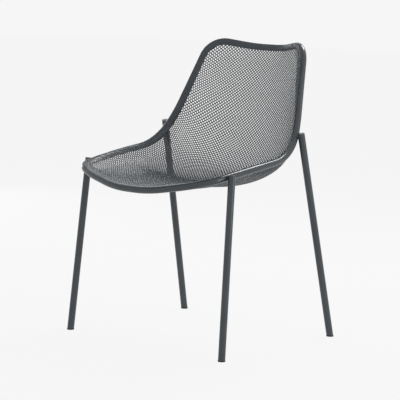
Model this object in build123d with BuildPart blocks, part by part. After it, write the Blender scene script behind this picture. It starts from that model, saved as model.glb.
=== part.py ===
"""Metal stacking chair: a bent tube rim, a pressed mesh shell and four splayed tube legs.

Millimetres. +Z is up and the chair faces -Y, so +X is the sitter's left.
The origin lies on the floor under the middle of the chair.
"""
import os
from math import hypot

from build123d import *

# Driving dimensions of the rim: corners of its centreline on the left half, and the bend at each.
front_lip = (58.0, -279.5, 423.0)
front_side = (176.0, -252.5, 444.0)
front_corner = (232.0, -227.0, 459.0)
seat_side = (252.0, -94.0, 482.0)
seat_bend = (244.0, 87.5, 505.0)
back_side = (217.0, 139.5, 600.0)
top_corner = (169.0, 220.5, 799.0)
top_dip = (51.0, 279.5, 780.0)
front_lip_radius = 320.0
front_side_radius = 280.0
front_corner_radius = 56.0
seat_side_radius = 900.0
seat_bend_radius = 148.0
back_side_radius = 400.0
top_corner_radius = 68.0
top_dip_radius = 150.0

# Tube sizes.
rim_diameter = 18.0
rim_wall = 1.5
seam_gap = 1.2
leg_diameter = 19.0
leg_wall = 1.5

# Legs: where each touches the rim, measured along the rim from its front middle, and where it stands.
front_leg_reach = 292.0
rear_leg_reach = 606.5
front_foot = (274.7, -219.3)
rear_foot = (269.2, 246.2)
leg_rise = 7.0
saddle_depth = 0.8
weld_inset = 1.5
weld_root = 0.3

# Caps and glides.
cap_thickness = 2.0
cap_chamfer = 0.6
cap_plug = 8.0
glide_height = 3.0
glide_plug = 24.0
glide_lip = 0.4

# Mesh shell: thickness, and the height and depth of its middle line at each cross-section.
shell_thickness = 2.0
shell_front_raise = 5.0
seat_mid_front = (-215.0, 420.0)
seat_mid_fore = (-140.0, 415.0)
seat_mid_centre = (-55.0, 411.0)
seat_mid_aft = (30.0, 410.0)
seat_mid_rear = (115.0, 421.0)
bend_mid = (173.0, 452.0)
lumbar_mid = (208.0, 510.0)
back_mid = (230.0, 595.0)
shoulder_mid = (250.0, 695.0)

# Openings of the shell: a coarse grid of diamonds for the many fine ones of the real sheet.
opening_columns = 8
opening_pitch = 62.0
mesh_bar = 12.0
mesh_border = 14.0

rim_radius = rim_diameter / 2
leg_radius = leg_diameter / 2
leg_bore = leg_radius - leg_wall
weld_radius = leg_radius - weld_inset


def mirrored(point):
    """The same point on the right half of the chair."""
    return (-point[0], point[1], point[2])


# Centreline of the rim, from its front middle round the back to the front middle again.
half_corners = [
    front_lip,
    front_side,
    front_corner,
    seat_side,
    seat_bend,
    back_side,
    top_corner,
    top_dip,
]
half_radii = [
    front_lip_radius,
    front_side_radius,
    front_corner_radius,
    seat_side_radius,
    seat_bend_radius,
    back_side_radius,
    top_corner_radius,
    top_dip_radius,
]
seam_start = (seam_gap / 2, front_lip[1], front_lip[2])
loop_corners = [seam_start] + half_corners + [mirrored(p) for p in reversed(half_corners)] + [mirrored(seam_start)]
loop_radii = half_radii + list(reversed(half_radii))

with BuildLine() as rim_line:
    FilletPolyline(*loop_corners, radius=loop_radii)
rim_path = rim_line.wire()
rim_half = rim_path.length / 2
seam_plane = Plane(origin=rim_path @ 0, z_dir=rim_path % 0)
joint_plane = Plane(origin=mirrored(seam_start), z_dir=(1, 0, 0))


def rim_point(reach):
    """Centre of the rim tube at a distance along it from the front middle."""
    return rim_path.position_at(reach, position_mode=PositionMode.LENGTH)


def rim_direction(reach):
    """Direction of the rim tube at a distance along it from the front middle."""
    return rim_path.tangent_at(reach, position_mode=PositionMode.LENGTH)


# Solid bar along the whole rim, used to cut the parts that sit against it.
with BuildPart() as rim_bar:
    with BuildSketch(seam_plane):
        Circle(rim_radius)
    sweep(path=rim_path)
    with BuildSketch(joint_plane):
        Circle(rim_radius)
    extrude(amount=seam_gap)

# Rim tube, bent from one length with its ends meeting at the front middle.
with BuildPart() as rim_tube:
    with BuildSketch(seam_plane):
        Circle(rim_radius)
        Circle(rim_radius - rim_wall, mode=Mode.SUBTRACT)
    sweep(path=rim_path)

# Ring of weld that closes the joint between the two ends of the rim tube, ground flush.
with BuildPart() as rim_seam_weld:
    with BuildSketch(joint_plane):
        Circle(rim_radius)
        Circle(rim_radius - rim_wall, mode=Mode.SUBTRACT)
    extrude(amount=seam_gap)


# Mesh shell: cross-sections run from rim to rim through the middle line.
def section_curve(half_width, sag, fullness, drop):
    """Control points of a cross-section, from one rim to the other."""
    crown = (16 - 8 * drop) / 6
    return [
        (-half_width, 0),
        (-fullness * half_width, drop * sag),
        (0, crown * sag),
        (fullness * half_width, drop * sag),
        (half_width, 0),
    ]


def raised_curve(points, thickness):
    """The same control points moved by the sheet's thickness towards the sitter."""
    side = Vector(points[1]) - Vector(points[0])
    side_normal = Vector(side.Y, -side.X).normalized()
    base = Vector(points[2]) - Vector(points[1])
    base_normal = Vector(base.Y, -base.X).normalized()
    mitre = (side_normal + base_normal) / (1 + side_normal.dot(base_normal))
    end = Vector(points[0]) + side_normal * thickness
    flank = Vector(points[1]) + mitre * thickness
    middle = Vector(points[2]) - Vector(0, thickness / -base_normal.Y)
    return [
        (end.X, end.Y),
        (flank.X, flank.Y),
        (0, middle.Y),
        (-flank.X, flank.Y),
        (-end.X, end.Y),
    ]


# Each row: the end of the section, as a share of the half rim or at a corner of it, its middle,
# its fullness and the drop at its flanks.
rim_front_mid = (front_lip[1] + shell_front_raise / 2, front_lip[2] + shell_front_raise)
rim_top_mid = (top_dip[1] - shell_front_raise / 2, top_dip[2])
sections = [
    (Vector(front_corner), rim_front_mid, 0.50, 0.99),
    (rim_point(0.278 * rim_half), seat_mid_front, 0.70, 0.94),
    (rim_point(0.335 * rim_half), seat_mid_fore, 0.80, 0.90),
    (rim_point(0.402 * rim_half), seat_mid_centre, 0.81, 0.91),
    (rim_point(0.470 * rim_half), seat_mid_aft, 0.81, 0.91),
    (rim_point(0.527 * rim_half), seat_mid_rear, 0.80, 0.90),
    (rim_point(0.575 * rim_half), bend_mid, 0.75, 0.90),
    (rim_point(0.623 * rim_half), lumbar_mid, 0.68, 0.88),
    (rim_point(0.690 * rim_half), back_mid, 0.60, 0.84),
    (rim_point(0.757 * rim_half), shoulder_mid, 0.54, 0.78),
    (Vector(top_corner), rim_top_mid, 0.50, 0.716),
]

with BuildPart() as shell_blank:
    for rim_end, middle, fullness, drop in sections:
        fall = Vector(0, middle[0] - rim_end.Y, middle[1] - rim_end.Z)
        section_plane = Plane(
            origin=(0, rim_end.Y, rim_end.Z),
            x_dir=(1, 0, 0),
            z_dir=Vector(1, 0, 0).cross(fall.normalized()),
        )
        lower = section_curve(rim_end.X, fall.length, fullness, drop)
        upper = raised_curve(lower, shell_thickness)
        with BuildSketch(section_plane):
            with BuildLine():
                Bezier(*lower)
                Bezier(*upper)
                Line(lower[0], upper[0])
                Line(lower[-1], upper[-1])
            make_face()
    loft()
    outer_face = shell_blank.faces().sort_by(SortBy.AREA)[-1]
    add(rim_bar.part, mode=Mode.SUBTRACT)


# Openings are set out along the shell itself: rows from front to top, columns from rim to rim.
def distances_along(point_at, steps=60):
    """Distance along a curve at each of its even parameters."""
    points = [point_at(i / steps) for i in range(steps + 1)]
    distances = [0.0]
    for before, after in zip(points, points[1:]):
        distances.append(distances[-1] + (after - before).length)
    return distances


def parameter_at(distances, distance):
    """Parameter of a curve at a distance along it."""
    step = max(i for i, passed in enumerate(distances[:-1]) if passed <= distance)
    part = (distance - distances[step]) / (distances[step + 1] - distances[step])
    return (step + part) / (len(distances) - 1)


middle_distances = distances_along(lambda v: outer_face.position_at(0.5, v))
clear_length = middle_distances[-1] - 2 * mesh_border
row_count = 2 * round(clear_length / opening_pitch) - 1
row_pitch = clear_length / (row_count + 1)
rows = []
for row in range(row_count + 2):
    v = parameter_at(middle_distances, mesh_border + row * row_pitch)
    rows.append((v, distances_along(lambda u: outer_face.position_at(u, v))))


def sheet_place(row, share):
    """Parameters of the shell's outer face on a row, at a share of its clear width."""
    v, distances = rows[row]
    clear_width = distances[-1] - 2 * mesh_border
    return parameter_at(distances, mesh_border + share * clear_width), v


def diamond(row, share):
    """Plane of an opening square to the sheet, and its four corners inside the bars round it."""
    half_column = 0.5 / opening_columns
    centre = sheet_place(row, share)
    tips = [
        outer_face.position_at(*sheet_place(row, share - half_column)),
        outer_face.position_at(*sheet_place(row - 1, share)),
        outer_face.position_at(*sheet_place(row, share + half_column)),
        outer_face.position_at(*sheet_place(row + 1, share)),
    ]
    plane = Plane(
        origin=outer_face.position_at(*centre),
        x_dir=tips[2] - tips[0],
        z_dir=outer_face.normal_at(*centre),
    )
    corners = [plane.to_local_coords(tip) for tip in tips]
    half_long = abs(corners[2].X - corners[0].X) / 2
    half_short = abs(corners[3].Y - corners[1].Y) / 2
    shrink = 1 - mesh_bar / 2 * hypot(half_long, half_short) / (half_long * half_short)
    return plane, [(corner.X * shrink, corner.Y * shrink) for corner in corners]


with BuildPart() as seat_shell:
    add(shell_blank.part.solids().sort_by(SortBy.VOLUME)[-1])
    for row in range(1, row_count + 1):
        count = opening_columns - (row + 1) % 2
        for column in range(count):
            share = 0.5 + (column - (count - 1) / 2) / opening_columns
            opening_plane, corners = diamond(row, share)
            with BuildSketch(opening_plane):
                with BuildLine():
                    Polyline(*corners, close=True)
                make_face()
    extrude(amount=opening_pitch / 4, both=True, mode=Mode.SUBTRACT, clean=False)


# Legs on the left side. Each stands outside the rim, saddled on it, and leans to its foot.
def leg_axis(reach, foot):
    """Contact point on the leg's axis, and the leg's direction from foot to top."""
    contact = rim_point(reach)
    along = rim_direction(reach)
    ground = Vector(foot[0], foot[1], 0)
    stand_off = rim_radius + leg_radius - saddle_depth
    first = (contact + Vector(stand_off, 0, 0) - ground).normalized()
    outward = along.cross(first).normalized()
    if outward.X < 0:
        outward = outward * -1
    joint = contact + outward * stand_off
    return contact, joint, (joint - ground).normalized()


pieces = {}
for corner, reach, foot in (
    ("front", front_leg_reach, front_foot),
    ("rear", rear_leg_reach, rear_foot),
):
    contact, joint, upward = leg_axis(reach, foot)
    tube_top = joint + upward * (leg_rise - cap_thickness)
    foot_point = Vector(foot[0], foot[1], 0)
    tube_length = (tube_top - foot_point).length
    start_plane = Plane(origin=foot_point, z_dir=upward)
    top_plane = Plane(origin=tube_top, z_dir=upward)
    floor_cut = Plane.XY.offset(glide_height)

    # Weld between leg and rim: it fills the space round the saddle and bites into the leg's wall.
    weld_plane = Plane(origin=contact, z_dir=(joint - contact).normalized())
    with BuildPart() as weld:
        with BuildSketch(weld_plane):
            Circle(weld_radius)
        extrude(amount=rim_radius + leg_radius)
        split(bisect_by=top_plane, keep=Keep.BOTTOM)
        add(rim_bar.part, mode=Mode.SUBTRACT)
        with BuildSketch(start_plane):
            Circle(leg_radius - saddle_depth - weld_root)
        extrude(amount=tube_length + leg_diameter, mode=Mode.SUBTRACT)
    pieces[corner + "_left_weld"] = weld.part

    # Leg tube, cut level at the bottom and notched where it saddles the rim.
    with BuildPart() as leg:
        with BuildSketch(start_plane.offset(-leg_diameter)):
            Circle(leg_radius)
            Circle(leg_bore, mode=Mode.SUBTRACT)
        extrude(amount=tube_length + leg_diameter)
        split(bisect_by=floor_cut, keep=Keep.TOP)
        add(rim_bar.part, mode=Mode.SUBTRACT)
        add(weld.part, mode=Mode.SUBTRACT)
    pieces[corner + "_left_leg"] = leg.part

    # Cap that closes the top of the leg.
    with BuildPart() as cap:
        with BuildSketch(top_plane):
            Circle(leg_radius)
        extrude(amount=cap_thickness)
        chamfer(cap.faces().sort_by(Axis(tube_top, upward))[-1].edges(), cap_chamfer)
        with BuildSketch(top_plane):
            Circle(leg_bore)
        extrude(amount=-cap_plug)
        add(rim_bar.part, mode=Mode.SUBTRACT)
    pieces[corner + "_left_leg_cap"] = cap.part

    # Glide: a plug in the bore and a level foot under the tube.
    with BuildPart() as glide:
        with BuildSketch(start_plane.offset(-leg_diameter)):
            Circle(leg_radius + glide_lip)
        extrude(amount=2 * leg_diameter)
        split(bisect_by=floor_cut, keep=Keep.BOTTOM)
        split(bisect_by=Plane.XY, keep=Keep.TOP)
        with BuildSketch(start_plane.offset(0.8 * glide_height)):
            Circle(leg_bore)
        extrude(amount=glide_plug)
    pieces[corner + "_left_glide"] = glide.part

for name in list(pieces):
    with BuildPart() as twin:
        mirror(pieces[name], about=Plane.YZ)
    pieces[name.replace("_left_", "_right_")] = twin.part

pieces["rim_tube"] = rim_tube.part
pieces["rim_seam_weld"] = rim_seam_weld.part
pieces["seat_shell"] = seat_shell.part

os.makedirs("parts", exist_ok=True)
for name, piece in pieces.items():
    piece.label = name
    export_step(piece, "parts/" + name + ".step")
    print(name, len(piece.solids()), round(piece.volume, 1), piece.bounding_box())
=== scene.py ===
# %% [markdown]
# # A metal stacking chair with a mesh shell
# The chair is a bent tube rim with a sheet of open steel mesh pressed into a bucket inside it.
# Four straight tube legs are welded to the outside of the rim.
# Each leg stands on a small plastic glide.
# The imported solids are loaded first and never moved, so every piece made here is fitted to them.

import math

import bpy
import numpy as np
from mathutils import Matrix, Vector


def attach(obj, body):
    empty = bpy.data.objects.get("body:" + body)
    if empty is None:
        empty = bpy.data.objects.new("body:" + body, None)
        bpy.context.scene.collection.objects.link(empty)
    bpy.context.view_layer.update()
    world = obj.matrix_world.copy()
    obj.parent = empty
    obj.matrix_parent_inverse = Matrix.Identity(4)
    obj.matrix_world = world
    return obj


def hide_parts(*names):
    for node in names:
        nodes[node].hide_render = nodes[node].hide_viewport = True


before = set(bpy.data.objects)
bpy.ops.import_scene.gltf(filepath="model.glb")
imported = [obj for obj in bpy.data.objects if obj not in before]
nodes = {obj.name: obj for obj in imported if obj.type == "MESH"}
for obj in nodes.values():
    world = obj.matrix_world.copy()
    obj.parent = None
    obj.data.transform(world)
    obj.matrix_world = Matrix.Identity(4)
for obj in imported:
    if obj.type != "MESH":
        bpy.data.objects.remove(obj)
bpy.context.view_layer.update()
scene = bpy.context.scene

# %% [markdown]
# ## The camera
# A long lens far away keeps the legs almost parallel, as in a catalogue picture.
# The direction was found from the chair itself.
# Its two halves are mirror images, and its four feet share one floor.
# Azimuth, elevation and a slight roll turn into the three axes of the camera.

# %% Place the camera
azimuth = math.radians(41.13)
elevation = math.radians(7.49)
roll = math.radians(1.41)
aim = Vector((-0.0168, 0.01525, 0.3676))
camera_distance = 4.959
sensor_width = 36.0
focal_share = 1811.0 / 400.0  # focal length as a share of the picture's width
far_clip = 60.0

camera_data = bpy.data.cameras.new("studio_camera")
camera_data.sensor_width = sensor_width
camera_data.lens = sensor_width * focal_share
camera_data.clip_end = far_clip
camera = bpy.data.objects.new("studio_camera", camera_data)
scene.collection.objects.link(camera)
scene.camera = camera

level_share = math.cos(elevation)
toward_camera = Vector(
    (math.sin(azimuth) * level_share, -math.cos(azimuth) * level_share, math.sin(elevation))
)
level_right = Vector((math.cos(azimuth), math.sin(azimuth), 0.0))
level_up = toward_camera.cross(level_right)
right = level_right * math.cos(roll) + level_up * math.sin(roll)
up = level_up * math.cos(roll) - level_right * math.sin(roll)
camera_turn = Matrix((right, up, toward_camera)).transposed().to_4x4()
camera.matrix_world = Matrix.Translation(aim + toward_camera * camera_distance) @ camera_turn
print("camera at", [round(x, 3) for x in camera.location], "lens", round(camera_data.lens, 1))

# %% [markdown]
# ## Studio lamps
# The picture was taken in plain soft light.
# A small softbox high behind the chair draws one bright line along the near tube.
# Two large ones at the sides put soft edges of light on the legs.

# %% Softboxes
scene.view_settings.view_transform = "Standard"
softboxes = [
    # name, place, point it faces, width and height, watts
    ("overhead_softbox", (-0.1, 1.5, 2.4), (0.0, 0.0, 0.45), (0.9, 0.9), 30.0),
    ("left_softbox", (-2.6, 1.0, 1.2), (-0.1, 0.2, 0.3), (1.4, 2.2), 20.0),
    ("right_softbox", (3.0, 0.6, 1.2), (0.0, 0.0, 0.4), (1.4, 2.2), 24.0),
]


def soft_lamp(name, place, target, size, watts):
    """A rectangular softbox that faces a point."""
    data = bpy.data.lights.new(name, "AREA")
    data.shape = "RECTANGLE"
    data.size, data.size_y = size
    data.energy = watts
    lamp = bpy.data.objects.new(name, data)
    lamp.location = place
    lamp.rotation_mode = "QUATERNION"
    lamp.rotation_quaternion = (Vector(target) - Vector(place)).to_track_quat("-Z", "Y")
    scene.collection.objects.link(lamp)


for softbox in softboxes:
    soft_lamp(*softbox)

# %% [markdown]
# ## Pale surroundings
# The world does two jobs: it fills the shadows, and it is the pale ground behind the chair.
# The Light Path node tells these apart by the kind of ray that asks.
# Rays from the camera and from reflections get the pale ground, and all others get the fill.

# %% World
seen_sky_colour = (0.921, 0.921, 0.921, 1.0)
fill_sky_colour = (0.60, 0.605, 0.61, 1.0)


def seen_by(tree, rays):
    """1 for the named kinds of ray, and 0 for all others."""
    path = tree.nodes.new("ShaderNodeLightPath")
    seen = path.outputs[rays[0]]
    for ray in rays[1:]:
        either = tree.nodes.new("ShaderNodeMath")
        either.operation = "MAXIMUM"
        tree.links.new(seen, either.inputs[0])
        tree.links.new(path.outputs[ray], either.inputs[1])
        seen = either.outputs[0]
    return seen


def mixed(tree, share, first, second):
    """A mix of two shaders."""
    mix = tree.nodes.new("ShaderNodeMixShader")
    tree.links.new(share, mix.inputs["Fac"])
    tree.links.new(first.outputs[0], mix.inputs[1])
    tree.links.new(second.outputs[0], mix.inputs[2])
    return mix.outputs[0]


world = bpy.data.worlds.new("studio_world")
scene.world = world
world.use_nodes = True
sky = world.node_tree
sky.nodes.clear()
seen_sky = sky.nodes.new("ShaderNodeBackground")
seen_sky.inputs["Color"].default_value = seen_sky_colour
fill_sky = sky.nodes.new("ShaderNodeBackground")
fill_sky.inputs["Color"].default_value = fill_sky_colour
sky_share = seen_by(sky, ("Is Camera Ray", "Is Glossy Ray", "Is Transmission Ray"))
sky_out = sky.nodes.new("ShaderNodeOutputWorld")
sky.links.new(mixed(sky, sky_share, fill_sky, seen_sky), sky_out.inputs["Surface"])
print("world:", world.name)

# %% [markdown]
# ## Floor
# The floor is one large square.
# Most of what the camera sees of it is its own pale colour.
# The small matt share that is left keeps a faint shadow under the chair.

# %% Lay the floor
floor_half = 14.0
matt_colour = (0.8, 0.8, 0.8, 1.0)
seen_floor_colour = (0.941, 0.941, 0.941, 1.0)
seen_floor_share = 0.93

floor_corners = [(-1, -1), (1, -1), (1, 1), (-1, 1)]
floor_mesh = bpy.data.meshes.new("studio_floor")
floor_mesh.from_pydata([(x * floor_half, y * floor_half, 0) for x, y in floor_corners], [], [(0, 1, 2, 3)])
floor = bpy.data.objects.new("studio_floor", floor_mesh)
scene.collection.objects.link(floor)

floor_paint = bpy.data.materials.new("pale_floor")
floor_paint.use_nodes = True
paint = floor_paint.node_tree
paint.nodes.clear()
matt_floor = paint.nodes.new("ShaderNodeBsdfDiffuse")
matt_floor.inputs["Color"].default_value = matt_colour
seen_floor = paint.nodes.new("ShaderNodeEmission")
seen_floor.inputs["Color"].default_value = seen_floor_colour
floor_share = paint.nodes.new("ShaderNodeMath")
floor_share.operation = "MULTIPLY"
floor_share.inputs[1].default_value = seen_floor_share
paint.links.new(seen_by(paint, ("Is Camera Ray", "Is Glossy Ray")), floor_share.inputs[0])
floor_out = paint.nodes.new("ShaderNodeOutputMaterial")
paint.links.new(mixed(paint, floor_share.outputs[0], matt_floor, seen_floor), floor_out.inputs["Surface"])
floor_mesh.materials.append(floor_paint)
print("floor:", floor.name)

# %% [markdown]
# ## Powder coat
# Frame and mesh carry the same satin anthracite powder coat.
# Powder melts into a skin like fine orange peel, so the gloss breaks up at about a millimetre.
# Noise in Object coordinates drives a small change of colour, roughness and bump.
# It belongs to the piece, so nothing slides when the chair moves.

# %% Nodes of a skin
noise_low, noise_high = 0.3, 0.7  # the part of a noise that is used, since it rarely leaves it


def noise_node(tree, coordinates, scale, detail):
    """A noise texture on the piece's own coordinates."""
    noise = tree.nodes.new("ShaderNodeTexNoise")
    noise.inputs["Scale"].default_value = scale
    noise.inputs["Detail"].default_value = detail
    tree.links.new(coordinates, noise.inputs["Vector"])
    return noise.outputs["Fac"]


def ramp_node(tree, value, dark, pale):
    """A colour ramp between two colours over the middle of a noise."""
    ramp = tree.nodes.new("ShaderNodeValToRGB")
    ramp.color_ramp.elements[0].position = noise_low
    ramp.color_ramp.elements[0].color = (*dark, 1.0)
    ramp.color_ramp.elements[1].position = noise_high
    ramp.color_ramp.elements[1].color = (*pale, 1.0)
    tree.links.new(value, ramp.inputs["Fac"])
    return ramp.outputs["Color"]


def range_node(tree, value, low, high):
    """A noise value mapped to a range."""
    span = tree.nodes.new("ShaderNodeMapRange")
    span.inputs["From Min"].default_value = noise_low
    span.inputs["From Max"].default_value = noise_high
    span.inputs["To Min"].default_value = low
    span.inputs["To Max"].default_value = high
    tree.links.new(value, span.inputs["Value"])
    return span.outputs["Result"]


print("noise used from", noise_low, "to", noise_high)

# %% [markdown]
# ## Three finishes
# One function makes every finish: cloudy colour, uneven gloss and a fine bump.
# The frame's coat, the mesh's coat and the black plastic differ only in colour, gloss and grain.
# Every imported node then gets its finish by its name.

# %% Finishes
cloud_scale, cloud_detail = 28.0, 3.0
grain_detail = 2.0
bump_strength = 0.35


def skin_material(name, dark, pale, gloss, grain_scale, grain_height):
    """A coated or moulded skin."""
    material = bpy.data.materials.new(name)
    material.use_nodes = True
    tree = material.node_tree
    tree.nodes.clear()
    out = tree.nodes.new("ShaderNodeOutputMaterial")
    skin = tree.nodes.new("ShaderNodeBsdfPrincipled")
    skin.inputs["Metallic"].default_value = 0.0
    place = tree.nodes.new("ShaderNodeTexCoord").outputs["Object"]
    cloud = noise_node(tree, place, cloud_scale, cloud_detail)
    grain = noise_node(tree, place, grain_scale, grain_detail)
    tree.links.new(ramp_node(tree, cloud, dark, pale), skin.inputs["Base Color"])
    tree.links.new(range_node(tree, grain, *gloss), skin.inputs["Roughness"])
    bump = tree.nodes.new("ShaderNodeBump")
    bump.inputs["Strength"].default_value = bump_strength
    bump.inputs["Distance"].default_value = grain_height
    tree.links.new(grain, bump.inputs["Height"])
    tree.links.new(bump.outputs["Normal"], skin.inputs["Normal"])
    tree.links.new(skin.outputs["BSDF"], out.inputs["Surface"])
    return material


frame_coat = skin_material(
    "frame_powder_coat", (0.037, 0.046, 0.053), (0.049, 0.059, 0.067), (0.16, 0.26), 900.0, 0.0002
)
mesh_coat = skin_material(
    "mesh_powder_coat", (0.041, 0.051, 0.060), (0.055, 0.066, 0.077), (0.20, 0.30), 900.0, 0.0002
)
glide_plastic = skin_material(
    "glide_black_plastic", (0.005, 0.005, 0.006), (0.010, 0.010, 0.011), (0.60, 0.75), 1500.0, 0.0001
)


def finish_node(name, material):
    """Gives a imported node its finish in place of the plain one."""
    obj = nodes[name]
    obj.data.materials.clear()
    obj.data.materials.append(material)


for name in nodes:
    if name.endswith("glide"):
        finish_node(name, glide_plastic)
    elif name == "seat_shell":
        finish_node(name, mesh_coat)
    else:
        finish_node(name, frame_coat)
print("materials:", [m.name for m in bpy.data.materials])

# %% [markdown]
# ## The line of the rim
# The mesh lies on the rim tube, so it has to know where the tube runs.
# The tube is bent from one length: straight runs joined by arcs, the same on both sides.
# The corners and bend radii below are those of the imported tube, in metres.

# %% Rim centreline
rim_radius = 0.009
rim_bends = [
    ((0.058, -0.2795, 0.423), 0.320),
    ((0.176, -0.2525, 0.444), 0.280),
    ((0.232, -0.227, 0.459), 0.056),
    ((0.252, -0.094, 0.482), 0.900),
    ((0.244, 0.0875, 0.505), 0.148),
    ((0.217, 0.1395, 0.600), 0.400),
    ((0.169, 0.2205, 0.799), 0.068),
    ((0.051, 0.2795, 0.780), 0.150),
]
mirror_x = np.array([-1.0, 1.0, 1.0])
rim_points = 420


def bent_half(bends, arc_steps=24):
    """Points along half the rim, from its front middle to its top middle."""
    corners = np.array([b[0] for b in bends])
    corners = np.vstack([corners[0] * mirror_x, corners, corners[-1] * mirror_x])
    line = [(corners[0] + corners[1]) / 2]
    for i, (_, radius) in enumerate(bends, start=1):
        back = corners[i - 1] - corners[i]
        ahead = corners[i + 1] - corners[i]
        back /= np.linalg.norm(back)
        ahead /= np.linalg.norm(ahead)
        bend = math.pi - math.acos(float(np.clip(back @ ahead, -1, 1)))
        first = corners[i] + back * radius * math.tan(bend / 2)
        middle = (back + ahead) / np.linalg.norm(back + ahead)
        centre = corners[i] + middle * radius / math.cos(bend / 2)
        spoke = (first - centre) / radius
        for angle in np.linspace(0.0, bend, arc_steps):
            line.append(centre + radius * (math.cos(angle) * spoke - math.sin(angle) * back))
    line.append((corners[-2] + corners[-1]) / 2)
    return np.array(line)


half_line = bent_half(rim_bends)
half_reach = np.r_[0.0, np.cumsum(np.linalg.norm(np.diff(half_line, axis=0), axis=1))]
rim_half_length = half_reach[-1]


def rim_at(reach):
    """The rim's centre at a distance along it from the front middle."""
    return np.array([np.interp(reach, half_reach, half_line[:, k]) for k in range(3)])


left_line = np.array([rim_at(s) for s in np.linspace(0.0, rim_half_length, rim_points)])
rim_loop = np.vstack([left_line, (left_line * mirror_x)[-2:0:-1]])
print("rim length", round(2 * rim_half_length, 4), "points", len(rim_loop))

# %% [markdown]
# ## Cross-sections of the shell
# The pressed shell is described by cross-sections from rim to rim.
# Each says where it meets the rim, where its middle lies, and how full and how deep its curve is.
# A quartic curve with five weights is enough for a bowl with soft shoulders.

# %% Sections
shell_sections = [
    (rim_bends[2][0], (-0.277, 0.428), 0.50, 0.99),
    (rim_at(0.278 * rim_half_length), (-0.215, 0.420), 0.70, 0.94),
    (rim_at(0.335 * rim_half_length), (-0.140, 0.4165), 0.80, 0.90),
    (rim_at(0.402 * rim_half_length), (-0.055, 0.4150), 0.81, 0.91),
    (rim_at(0.470 * rim_half_length), (0.030, 0.4095), 0.81, 0.91),
    (rim_at(0.527 * rim_half_length), (0.115, 0.4235), 0.80, 0.90),
    (rim_at(0.575 * rim_half_length), (0.173, 0.452), 0.75, 0.90),
    (rim_at(0.623 * rim_half_length), (0.208, 0.510), 0.68, 0.88),
    (rim_at(0.690 * rim_half_length), (0.230, 0.595), 0.60, 0.84),
    (rim_at(0.757 * rim_half_length), (0.250, 0.695), 0.54, 0.78),
    (rim_bends[6][0], (0.277, 0.780), 0.50, 0.716),
]
side_overrun, grid_columns = 0.07, 191
across = np.linspace(-side_overrun, 1 + side_overrun, grid_columns)


def section_points(rim_end, middle, fullness, drop, t):
    """A quartic curve from rim to rim through the middle of the section."""
    fall = np.array(middle) - np.array(rim_end)[1:]
    sag = np.linalg.norm(fall)
    fall = fall / sag
    crown = (16 - 8 * drop) / 6  # the middle weight that makes the curve pass through the middle
    b0, b1, b2 = (1 - t) ** 4, 4 * (1 - t) ** 3 * t, 6 * (1 - t) ** 2 * t**2
    b3, b4 = 4 * (1 - t) * t**3, t**4
    x = rim_end[0] * (b4 - b0 + fullness * (b3 - b1))
    w = sag * (drop * (b1 + b3) + crown * b2)
    return np.stack([x, rim_end[1] + fall[0] * w, rim_end[2] + fall[1] * w], -1)


section_rows = np.array([section_points(*s, across) for s in shell_sections])
print("sections", section_rows.shape)

# %% [markdown]
# ## The pressed shell
# A smooth spline through the sections gives the whole bucket as a grid of points.
# The grid runs a little past the rim on every side, because the mesh is later laid over the tube.
# The cross product of the grid's two directions gives the way that the sheet faces.

# %% Shell surface
end_overrun, grid_rows = 0.035, 281
along = np.linspace(-end_overrun, 1 + end_overrun, grid_rows)


def spline_rows(knots, rows, wanted):
    """A natural cubic spline through rows of points, straight beyond its ends."""
    n = len(knots)
    gap = np.diff(knots)
    slope = np.diff(rows, axis=0) / gap[:, None, None]
    system = np.eye(n)
    load = np.zeros_like(rows)
    for i in range(1, n - 1):
        system[i, i - 1 : i + 2] = gap[i - 1], 2 * (gap[i - 1] + gap[i]), gap[i]
        load[i] = 6 * (slope[i] - slope[i - 1])
    bend = np.linalg.solve(system, load.reshape(n, -1)).reshape(rows.shape)
    cell = np.clip(np.searchsorted(knots, wanted) - 1, 0, n - 2)
    inside = np.clip(wanted, knots[0], knots[-1])
    h = gap[cell][:, None, None]
    a = ((knots[cell + 1] - inside) / gap[cell])[:, None, None]
    b = 1 - a
    curve = a * rows[cell] + b * rows[cell + 1]
    curve += ((a**3 - a) * bend[cell] + (b**3 - b) * bend[cell + 1]) * h**2 / 6
    rate = slope[cell] + ((1 - 3 * a**2) * bend[cell] + (3 * b**2 - 1) * bend[cell + 1]) * h / 6
    return curve + rate * (wanted - inside)[:, None, None]


mid_column = len(across) // 2
edge_column = int(np.argmin(np.abs(across)))
steps = np.linalg.norm(np.diff(section_rows[:, mid_column], axis=0), axis=1)
steps = steps + np.linalg.norm(np.diff(section_rows[:, edge_column], axis=0), axis=1)
knots = np.r_[0.0, np.cumsum(steps)] / steps.sum()
shell_grid = spline_rows(knots, section_rows, along)
facing = np.cross(np.gradient(shell_grid, axis=1), np.gradient(shell_grid, axis=0))
facing /= np.linalg.norm(facing, axis=2, keepdims=True)
print("shell grid", shell_grid.shape, "lowest", round(float(shell_grid[..., 2].min()), 4))

# %% [markdown]
# ## Nearest place on the tube
# To lay the sheet over the tube, each grid point has to know its place relative to it.
# The nearest point on the rim's line is found in batches, to keep the memory small.
# From it follow two directions: up from the tube, and inwards to the bowl.

# %% Places on the tube
points = shell_grid.reshape(-1, 3)
normals = facing.reshape(-1, 3)
batch = 4000
bowl_centre = np.array([0.0, 0.05, 0.52])

rim_ahead = np.roll(rim_loop, -1, axis=0) - rim_loop
rim_step = np.linalg.norm(rim_ahead, axis=1)
nearest = np.empty_like(points)
tangent = np.empty_like(points)
for start in range(0, len(points), batch):
    part = points[start : start + batch]
    gap = part[:, None, :] - rim_loop[None]
    share = np.clip((gap * rim_ahead[None]).sum(-1) / rim_step[None] ** 2, 0, 1)
    miss = gap - share[..., None] * rim_ahead[None]
    best = (miss**2).sum(-1).argmin(1)
    nearest[start : start + batch] = part - miss[np.arange(len(part)), best]
    tangent[start : start + batch] = rim_ahead[best] / rim_step[best][:, None]


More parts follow.
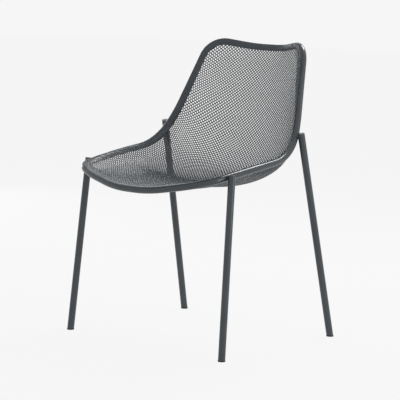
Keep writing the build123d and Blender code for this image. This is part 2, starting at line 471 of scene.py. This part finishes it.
def turned_inward(direction, place):
    """The same directions, reversed where they point away from the bowl."""
    return direction * np.sign(((bowl_centre - place) * direction).sum(1, keepdims=True))


offset = points - nearest
rise = normals - (normals * tangent).sum(1, keepdims=True) * tangent
rise /= np.linalg.norm(rise, axis=1, keepdims=True)
inward = turned_inward(np.cross(tangent, rise), nearest)
inset = np.sign((offset * inward).sum(1)) * np.linalg.norm(offset, axis=1)
height = (offset * rise).sum(1)
print("inset from", round(float(inset.min()), 4), "to", round(float(inset.max()), 4))

# %% [markdown]
# ## Laying the sheet over the tube
# A few centimetres from the rim the sheet begins to flare, and it comes to rest on the tube.
# Inside the rim it is lifted along its own normal until it clears the metal.
# Past the rim's line it follows the tube's round side for a few millimetres to its cut edge.

# %% Sheet over the tube
sheet_thickness = 0.0011
sheet_lift = -0.0005
wrap_length = 0.007
flare_length = 0.045
tube_clearance = 0.00015
wrap_radius = rim_radius + sheet_thickness / 2 + tube_clearance


def ease(share):
    """A share from 0 to 1 with a soft start and a soft end."""
    return share**2 * (3 - 2 * share)


fade = 1 - ease(np.clip(inset / flare_length, 0, 1))
lift = sheet_lift + (wrap_radius - sheet_lift) * fade - height * fade
sheet = points + normals * lift[:, None]
clear = sheet - nearest
reach_out = np.linalg.norm(clear, axis=1)
close = (inset >= 0) & (reach_out < wrap_radius)
sheet[close] = nearest[close] + clear[close] * (wrap_radius / reach_out[close])[:, None]
turn = np.clip(-inset, 0, wrap_length)[:, None] / wrap_radius
over = nearest + wrap_radius * (np.cos(turn) * rise - np.sin(turn) * inward)
beyond = inset < 0
sheet[beyond] = over[beyond]
sheet_grid = sheet.reshape(shell_grid.shape)
print("points over the tube", int(beyond.sum()), "pushed clear of it", int(close.sum()))

# %% [markdown]
# ## Flat coordinates of the sheet
# Mesh is made flat, and pressing stretches it by a few per cent, unevenly.
# Distance across each row and along the middle line serve as flat coordinates.
# Dividing by the stretch places the openings as the pressed sheet shows them.
# On the back the rows of openings also bow upwards towards both sides.

# %% Flat coordinates
back_begins, back_blend = 0.38, 0.18
seat_stretch = 1.05
back_loss, side_gain, side_reach = 0.11, 0.21, 0.2
stretch_places = [0.40, 0.62, 0.72, 0.80]
stretch_values = [1.03, 1.02, 0.96, 0.93]
bow_square, bow_fourth = 0.45, 3.75

row_step = np.linalg.norm(np.diff(shell_grid, axis=1), axis=2)
width = np.zeros(shell_grid.shape[:2])
width[:, 1:] = np.cumsum(row_step, axis=1)
width -= width[:, [mid_column]]
mid_step = np.linalg.norm(np.diff(shell_grid[:, mid_column], axis=0), axis=1)
length = np.r_[0.0, np.cumsum(mid_step)]
length -= np.interp(0.0, along, length)

on_back = ease(np.clip((length - back_begins) / back_blend, 0, 1))[:, None]
stretch_across = seat_stretch + on_back * (side_gain * (width / side_reach) ** 2 - back_loss)
stretch_along = np.interp(length, stretch_places, stretch_values)
row_bow = on_back * (bow_square * width**2 + bow_fourth * width**4)
flat_x = np.zeros_like(width)
flat_x[:, 1:] = np.cumsum(row_step / ((stretch_across[:, 1:] + stretch_across[:, :-1]) / 2), axis=1)
flat_x -= flat_x[:, [mid_column]]
flat_y = np.r_[0.0, np.cumsum(mid_step / ((stretch_along[1:] + stretch_along[:-1]) / 2))]
flat_y -= np.interp(0.0, along, flat_y)
print("flat width", round(float(np.ptp(flat_x)), 3), "flat length", round(float(np.ptp(flat_y)), 3))

# %% [markdown]
# ## A guide for the mesh
# The sheet becomes a plain grid of faces that only guides the openings and is removed later.
# Each of its points carries its flat coordinates, the way it faces and its distance from the rim.
# The flat coordinates are shifted to lie between 0 and 1, as a surface lookup needs them.

# %% Guide
flat_shift_x, flat_shift_y = 0.5, 0.05
tiny = 1e-12

n_rows, n_columns = shell_grid.shape[:2]
index = np.arange(n_rows * n_columns).reshape(n_rows, n_columns)
quads = np.stack([index[:-1, :-1], index[:-1, 1:], index[1:, 1:], index[1:, :-1]], -1).reshape(-1, 4)
guide_mesh = bpy.data.meshes.new("shell_guide")
guide_mesh.from_pydata(sheet_grid.reshape(-1, 3).tolist(), [], quads.tolist())
out_facing = np.cross(np.gradient(sheet_grid, axis=1), np.gradient(sheet_grid, axis=0)).reshape(-1, 3)
out_size = np.linalg.norm(out_facing, axis=1, keepdims=True)
out_facing = np.where(out_size > tiny, out_facing / np.maximum(out_size, tiny), normals)
out_facing = np.where(beyond[:, None], (sheet - nearest) / wrap_radius, out_facing)
flat_rows = flat_y[:, None] + row_bow + flat_shift_y
flat = np.stack([flat_x + flat_shift_x, flat_rows, np.zeros_like(flat_x)], -1)


def point_attribute(mesh, name, kind, values):
    """Stores one value per point on a mesh."""
    layer = mesh.attributes.new(name, kind, "POINT")
    key = "vector" if kind == "FLOAT_VECTOR" else "value"
    layer.data.foreach_set(key, np.ascontiguousarray(values, dtype=np.float32).ravel())


point_attribute(guide_mesh, "flat", "FLOAT_VECTOR", flat)
point_attribute(guide_mesh, "facing", "FLOAT_VECTOR", out_facing)
point_attribute(guide_mesh, "inset", "FLOAT", inset)
guide = bpy.data.objects.new("shell_guide", guide_mesh)
scene.collection.objects.link(guide)
print("guide faces", len(guide_mesh.polygons))

# %% [markdown]
# ## One opening of the mesh
# Open mesh is a sheet that was slit and stretched, which leaves diamonds with blunt corners.
# One opening with half of each strand round it is enough: its neighbours bring the other halves.
# Stretching turns the strands a little out of the sheet, like louvres, so the hole's lips are tilted.
# A strand is thickest along its middle and thinner at its lip, as a coated strand is.

# %% Outline of a cell
long_way = 0.0102
short_way = 0.0091
bond_length = 0.0024
strand_width = 0.0025
bond_widening = 1.25


def cell_outline(half_long, half_short, half_bond):
    """Six corners of a cell, from its right tip round to the lower right."""
    return np.array(
        [
            (half_long - half_bond, 0.0),
            (half_bond, half_short),
            (-half_bond, half_short),
            (half_bond - half_long, 0.0),
            (-half_bond, -half_short),
            (half_bond, -half_short),
        ]
    )


def inset_outline(corners, distances):
    """The same outline with each side moved inwards by its own distance."""
    result = []
    count = len(corners)
    for i in range(count):
        lines = []
        for j in (i - 1, i):
            start, end = corners[j], corners[(j + 1) % count]
            run = (end - start) / np.linalg.norm(end - start)
            inner = np.array([-run[1], run[0]])
            lines.append((inner, inner @ start + distances[j]))
        result.append(np.linalg.solve(np.array([n for n, _ in lines]), np.array([c for _, c in lines])))
    return np.array(result)


cell_rim = cell_outline(long_way / 2, short_way / 2, bond_length / 2)
half_strand = strand_width / 2
half_bond_strand = half_strand * bond_widening
sides = [half_strand, half_bond_strand, half_strand, half_strand, half_bond_strand, half_strand]
cell_hole = inset_outline(cell_rim, sides)
print("opening", np.round(np.ptp(cell_hole, axis=0) * 1000, 2), "mm")

# %% [markdown]
# ## The cell as a mesh
# Four rings of six points make the cell: upper crest, upper lip, lower lip and lower crest.
# The crests lie on the line between two openings, where the neighbour's ring meets them.
# The cell's outer side stays open, because the neighbouring cells close it.

# %% Cell of the mesh
strand_tilt = 0.00055
lip_share = 0.6
crest = sheet_thickness / 2
lip = lip_share * crest
corners_round = len(cell_rim)
side_of_hole = np.sign(np.round(cell_hole[:, 1], 6))
hole_tilt = -strand_tilt * side_of_hole
no_tilt = np.zeros(corners_round)
rings = [
    (cell_rim, no_tilt + crest),
    (cell_hole, hole_tilt + lip),
    (cell_hole, hole_tilt - lip),
    (cell_rim, no_tilt - crest),
]
cell_points = [(x, y, z) for outline, heights in rings for (x, y), z in zip(outline, heights)]
cell_faces = []
for ring in range(len(rings) - 1):
    upper, lower = corners_round * ring, corners_round * (ring + 1)
    for i in range(corners_round):
        j = (i + 1) % corners_round
        cell_faces.append((upper + i, upper + j, lower + j, lower + i))
cell_mesh = bpy.data.meshes.new("mesh_cell")
cell_mesh.from_pydata(cell_points, [], cell_faces)
cell = bpy.data.objects.new("mesh_cell", cell_mesh)
scene.collection.objects.link(cell)
print("faces per cell", len(cell_faces))

# %% [markdown]
# ## Thousands of openings with Geometry Nodes
# A tree of nodes repeats the cell, and its sizes are named inputs that can be changed on the modifier.
# A few small helpers keep the script short: one adds a node, one does a sum, one reads an attribute.

# %% Tree and its inputs
mesh_tree = bpy.data.node_groups.new("pressed_mesh", "GeometryNodeTree")


def tree_input(name, kind, default=None):
    """A named input of the tree."""
    socket = mesh_tree.interface.new_socket(name, in_out="INPUT", socket_type=kind)
    if default is not None:
        socket.default_value = default
    return socket.identifier


inputs = {
    "Guide": tree_input("Guide", "NodeSocketObject"),
    "Cell": tree_input("Cell", "NodeSocketObject"),
    "Long way": tree_input("Long way", "NodeSocketFloat", long_way),
    "Short way": tree_input("Short way", "NodeSocketFloat", short_way),
    "Columns": tree_input("Columns", "NodeSocketInt", 3),
    "Rows": tree_input("Rows", "NodeSocketInt", 3),
    "Edge": tree_input("Edge", "NodeSocketFloat", -wrap_length),
    "Coat": tree_input("Coat", "NodeSocketMaterial"),
}
mesh_tree.interface.new_socket("Geometry", in_out="OUTPUT", socket_type="NodeSocketGeometry")
wire = mesh_tree.links.new


def add(kind, **settings):
    """A node of the tree with its settings."""
    node = mesh_tree.nodes.new(kind)
    for key, value in settings.items():
        setattr(node, key, value)
    return node


def value_of(operation, first, second):
    """A math node; each side is a socket or a number."""
    node = add("ShaderNodeMath", operation=operation)
    for slot, side in zip(node.inputs, (first, second)):
        if isinstance(side, (int, float)):
            slot.default_value = side
        else:
            wire(side, slot)
    return node.outputs[0]


def attribute(name, kind):
    """A named attribute of the guide."""
    node = add("GeometryNodeInputNamedAttribute", data_type=kind)
    node.inputs["Name"].default_value = name
    return node.outputs["Attribute"]


given = add("NodeGroupInput").outputs
print("tree inputs:", list(inputs))

# %% [markdown]
# ## A staggered lattice
# A plain grid gives one point per opening, with its columns half a long way apart.
# Every second column is moved up by half a short way, as the rows of a mesh are staggered.
# The lattice is centred on the guide's flat coordinates.

# %% Lattice
lattice_x, lattice_y = 0.5, 0.45

half_long = value_of("MULTIPLY", given["Long way"], 0.5)
column_gaps = value_of("SUBTRACT", given["Columns"], 1)
row_gaps = value_of("SUBTRACT", given["Rows"], 1)
grid = add("GeometryNodeMeshGrid")
wire(value_of("MULTIPLY", half_long, column_gaps), grid.inputs["Size X"])
wire(value_of("MULTIPLY", given["Short way"], row_gaps), grid.inputs["Size Y"])
wire(given["Columns"], grid.inputs["Vertices X"])
wire(given["Rows"], grid.inputs["Vertices Y"])

point_number = value_of("ADD", add("GeometryNodeInputIndex").outputs[0], 0.5)
column = value_of("FLOOR", value_of("DIVIDE", point_number, given["Rows"]), 0)
odd = value_of("MODULO", column, 2)
half_row = value_of("MULTIPLY", value_of("MULTIPLY", odd, given["Short way"]), 0.5)
stagger = add("ShaderNodeCombineXYZ")
stagger.inputs[0].default_value = lattice_x
wire(value_of("ADD", half_row, lattice_y), stagger.inputs[1])
lattice = add("GeometryNodeSetPosition")
wire(grid.outputs["Mesh"], lattice.inputs["Geometry"])
wire(stagger.outputs[0], lattice.inputs["Offset"])
print("tree nodes:", len(mesh_tree.nodes))

# %% [markdown]
# ## Cells on the lattice
# Sample UV Surface finds flat coordinates on the guide and returns any value that the guide has there.
# First it tells each lattice point its distance from the rim, and points past the cut edge are dropped.
# The cell goes on each point that is left, and all cells are made real and welded together.

# %% Cells
edge_allowance = 0.45  # share of the short way by which a cell may pass the cut edge
weld_distance = 0.0001

guide_shape = add("GeometryNodeObjectInfo")
wire(given["Guide"], guide_shape.inputs["Object"])
cell_shape = add("GeometryNodeObjectInfo")
wire(given["Cell"], cell_shape.inputs["Object"])


def looked_up(value, kind, where):
    """A value of the guide at flat coordinates, and whether there is one."""
    node = add("GeometryNodeSampleUVSurface", data_type=kind)
    wire(guide_shape.outputs["Geometry"], node.inputs[0])
    wire(value, node.inputs[1])
    wire(attribute("flat", "FLOAT_VECTOR"), node.inputs[2])
    wire(where, node.inputs[3])
    return node.outputs[0], node.outputs[1]


lattice_place = add("GeometryNodeInputPosition").outputs[0]
lattice_inset, lattice_valid = looked_up(attribute("inset", "FLOAT"), "FLOAT", lattice_place)
allowance = value_of("MULTIPLY", given["Short way"], edge_allowance)
outside = add("FunctionNodeCompare", data_type="FLOAT", operation="LESS_THAN")
wire(lattice_inset, outside.inputs[0])
wire(value_of("SUBTRACT", given["Edge"], allowance), outside.inputs[1])
unplaced = add("FunctionNodeBooleanMath", operation="NOT")
wire(lattice_valid, unplaced.inputs[0])
dropped = add("FunctionNodeBooleanMath", operation="OR")
wire(outside.outputs[0], dropped.inputs[0])
wire(unplaced.outputs[0], dropped.inputs[1])
kept = add("GeometryNodeDeleteGeometry", domain="POINT")
wire(lattice.outputs["Geometry"], kept.inputs["Geometry"])
wire(dropped.outputs[0], kept.inputs["Selection"])

cells = add("GeometryNodeInstanceOnPoints")
wire(kept.outputs["Geometry"], cells.inputs["Points"])
wire(cell_shape.outputs["Geometry"], cells.inputs["Instance"])
real_cells = add("GeometryNodeRealizeInstances")
wire(cells.outputs["Instances"], real_cells.inputs["Geometry"])
welded = add("GeometryNodeMergeByDistance")
welded.inputs["Distance"].default_value = weld_distance
wire(real_cells.outputs["Geometry"], welded.inputs["Geometry"])
print("tree nodes:", len(mesh_tree.nodes))

# %% [markdown]
# ## From flat to pressed
# Each point of the flat mesh looks up its place on the pressed sheet and the way the sheet faces.
# Its own height above the flat mesh becomes a height along that direction.
# The tree ends by making everything real and giving it the coat.

# %% Pressing nodes
flat_place = add("ShaderNodeSeparateXYZ")
wire(add("GeometryNodeInputPosition").outputs[0], flat_place.inputs[0])
where = add("ShaderNodeCombineXYZ")
wire(flat_place.outputs[0], where.inputs[0])
wire(flat_place.outputs[1], where.inputs[1])
guide_place = add("GeometryNodeInputPosition").outputs[0]
place, _ = looked_up(guide_place, "FLOAT_VECTOR", where.outputs[0])
side_up, _ = looked_up(attribute("facing", "FLOAT_VECTOR"), "FLOAT_VECTOR", where.outputs[0])
raised = add("ShaderNodeVectorMath", operation="SCALE")
wire(side_up, raised.inputs[0])
wire(flat_place.outputs[2], raised.inputs["Scale"])
put = add("ShaderNodeVectorMath", operation="ADD")
wire(place, put.inputs[0])
wire(raised.outputs[0], put.inputs[1])
pressed = add("GeometryNodeSetPosition")
wire(welded.outputs["Geometry"], pressed.inputs["Geometry"])
wire(put.outputs[0], pressed.inputs["Position"])
smooth = add("GeometryNodeSetShadeSmooth")
wire(pressed.outputs["Geometry"], smooth.inputs["Geometry"])
whole = add("GeometryNodeRealizeInstances")
wire(smooth.outputs["Geometry"], whole.inputs["Geometry"])
coated = add("GeometryNodeSetMaterial")
wire(whole.outputs["Geometry"], coated.inputs["Geometry"])
wire(given["Coat"], coated.inputs["Material"])
wire(coated.outputs["Geometry"], add("NodeGroupOutput").inputs[0])
print("tree nodes:", len(mesh_tree.nodes))

# %% [markdown]
# ## Press the mesh
# A modifier runs the tree, with every input set by its identifier before the first evaluation.
# The result is copied to a plain mesh, and the modifier is removed.

# %% Run the tree
lattice_width, lattice_length = 0.62, 1.0

sheet_object = bpy.data.objects.new("mesh_sheet", bpy.data.meshes.new("mesh_sheet"))
scene.collection.objects.link(sheet_object)
modifier = sheet_object.modifiers.new("pressed_mesh", "NODES")
modifier.node_group = mesh_tree
settings = {
    "Guide": guide,
    "Cell": cell,
    "Long way": long_way,
    "Short way": short_way,
    "Columns": 2 * int(lattice_width / long_way) + 1,
    "Rows": int(lattice_length / short_way),
    "Edge": -wrap_length,
    "Coat": mesh_coat,
}
for name, value in settings.items():
    modifier[inputs[name]] = value
bpy.context.view_layer.update()
evaluated = sheet_object.evaluated_get(bpy.context.evaluated_depsgraph_get())
sheet_mesh = bpy.data.meshes.new_from_object(evaluated)
sheet_object.modifiers.clear()
print("pressed mesh: points", len(sheet_mesh.vertices), "faces", len(sheet_mesh.polygons))

# %% [markdown]
# ## Two handy pieces
# One sheet of mesh has more faces than a single piece should carry.
# So it is divided by a slanting plane at the seat's rear bend.
# Slivers that were pressed flat along the cut edge are left out on the way.

# %% Seat and back of the mesh
sliver_area = 2e-8
divide_height, divide_depth, divide_slope = 0.40, 0.32, 0.62


def add_shell_piece(name, piece_points, piece_faces):
    """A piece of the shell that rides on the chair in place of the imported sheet."""
    mesh = bpy.data.meshes.new(name)
    mesh.from_pydata(piece_points.tolist(), [], piece_faces.tolist())
    mesh.polygons.foreach_set("use_smooth", np.ones(len(mesh.polygons), bool))
    mesh.materials.append(mesh_coat)
    mesh.update()
    piece = bpy.data.objects.new(name, mesh)
    scene.collection.objects.link(piece)
    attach(piece, "root")
    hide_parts("seat_shell")
    print(name, "triangles", 2 * len(piece_faces))


co = np.empty(len(sheet_mesh.vertices) * 3, np.float32)
sheet_mesh.vertices.foreach_get("co", co)
co = co.reshape(-1, 3)
corner = np.empty(len(sheet_mesh.loops), np.int32)
sheet_mesh.loops.foreach_get("vertex_index", corner)
faces = corner.reshape(-1, 4)
diagonals = np.cross(co[faces[:, 2]] - co[faces[:, 0]], co[faces[:, 3]] - co[faces[:, 1]])
faces = faces[np.linalg.norm(diagonals, axis=1) / 2 > sliver_area]
middle = co[faces].mean(1)
is_back = middle[:, 2] - divide_height > (divide_depth - middle[:, 1]) * divide_slope
for name, part in {"mesh_seat": faces[~is_back], "mesh_back": faces[is_back]}.items():
    used, renumbered = np.unique(part, return_inverse=True)
    add_shell_piece(name, co[used], renumbered.reshape(-1, 4))
for helper in (sheet_object, guide, cell):
    bpy.data.objects.remove(helper)

# %% [markdown]
# ## The border under the mesh
# A thin flat border runs along the tube and carries the edge of the mesh.
# It starts a little inside the tube and ends on its round side.
# At the front it comes out on top and folds further over, and shows there as a plain edge.
# Its directions are taken from the sheet near the rim and smoothed along it.

# %% Directions along the rim
edge_zone = 0.004
neighbours = 8
smoothing = 9

near_edge = np.flatnonzero(np.abs(inset) < edge_zone)
edge_gap = ((rim_loop[:, None, :] - nearest[near_edge][None]) ** 2).sum(-1)
edge_rise = rise[near_edge][np.argsort(edge_gap, axis=1)[:, :neighbours]].mean(1)
window = np.arange(-smoothing, smoothing + 1)
edge_rise = edge_rise[(np.arange(len(rim_loop))[:, None] + window) % len(rim_loop)].mean(1)
rim_run = np.roll(rim_loop, -1, axis=0) - np.roll(rim_loop, 1, axis=0)
rim_run /= np.linalg.norm(rim_run, axis=1, keepdims=True)
edge_rise -= (edge_rise * rim_run).sum(1, keepdims=True) * rim_run
edge_rise /= np.linalg.norm(edge_rise, axis=1, keepdims=True)
edge_inward = turned_inward(np.cross(rim_run, edge_rise), rim_loop)
print("rim points with a direction", len(edge_rise))

# %% [markdown]
# ## The border's ribbon
# Its outline has a flat part that follows the sheet's flare, then an arc over the tube.
# The same outline a little lower is its underside, and the two are joined into a closed ring.
# The ring is carried along the rim, and the last one joins the first.

# %% Border
border_inset = 0.0118
edge_thickness, front_edge_thickness = 0.0005, 0.0014
edge_width, front_edge_width = 0.0015, 0.0095
front_begins, front_blend = -0.225, 0.04
under_gap = 0.0001
arc_points = 6
flat_points, flat_end = 5, 0.2  # the flat part stops at this share of its inset, before the arc

at_front = ease(np.clip((front_begins - rim_loop[:, 1]) / front_blend, 0, 1))
edge_reach = edge_width + (front_edge_width - edge_width) * at_front
edge_top = rim_radius + edge_thickness + (front_edge_thickness - edge_thickness) * at_front
edge_under = np.full(len(rim_loop), rim_radius + under_gap)
angles = edge_reach[:, None] * np.linspace(0.0, 1.0, arc_points)[None] / rim_radius
spokes = np.cos(angles)[..., None] * edge_rise[:, None] - np.sin(angles)[..., None] * edge_inward[:, None]
flat_steps = border_inset * np.linspace(1.0, flat_end, flat_points)
flat_fade = 1 - ease(flat_steps / flare_length)
flat_drop = (wrap_radius * (flat_fade - 1))[None, :, None]
inward_run = edge_inward[:, None] * flat_steps[None, :, None]


def border_side(radius):
    """One side of the border: the flat part inside the tube, then the arc over it."""
    radius = radius[:, None, None]
    flat_part = rim_loop[:, None] + edge_rise[:, None] * (radius + flat_drop) + inward_run
    return np.concatenate([flat_part, rim_loop[:, None] + radius * spokes], axis=1)


border = np.concatenate([border_side(edge_top), border_side(edge_under)[:, ::-1]], axis=1)
ids = np.arange(border.shape[0] * border.shape[1]).reshape(border.shape[:2])
next_ids = np.roll(ids, -1, axis=0)
border_faces = np.stack([ids, np.roll(ids, -1, axis=1), np.roll(next_ids, -1, axis=1), next_ids], -1)
add_shell_piece("mesh_edge", border.reshape(-1, 3), border_faces.reshape(-1, 4))
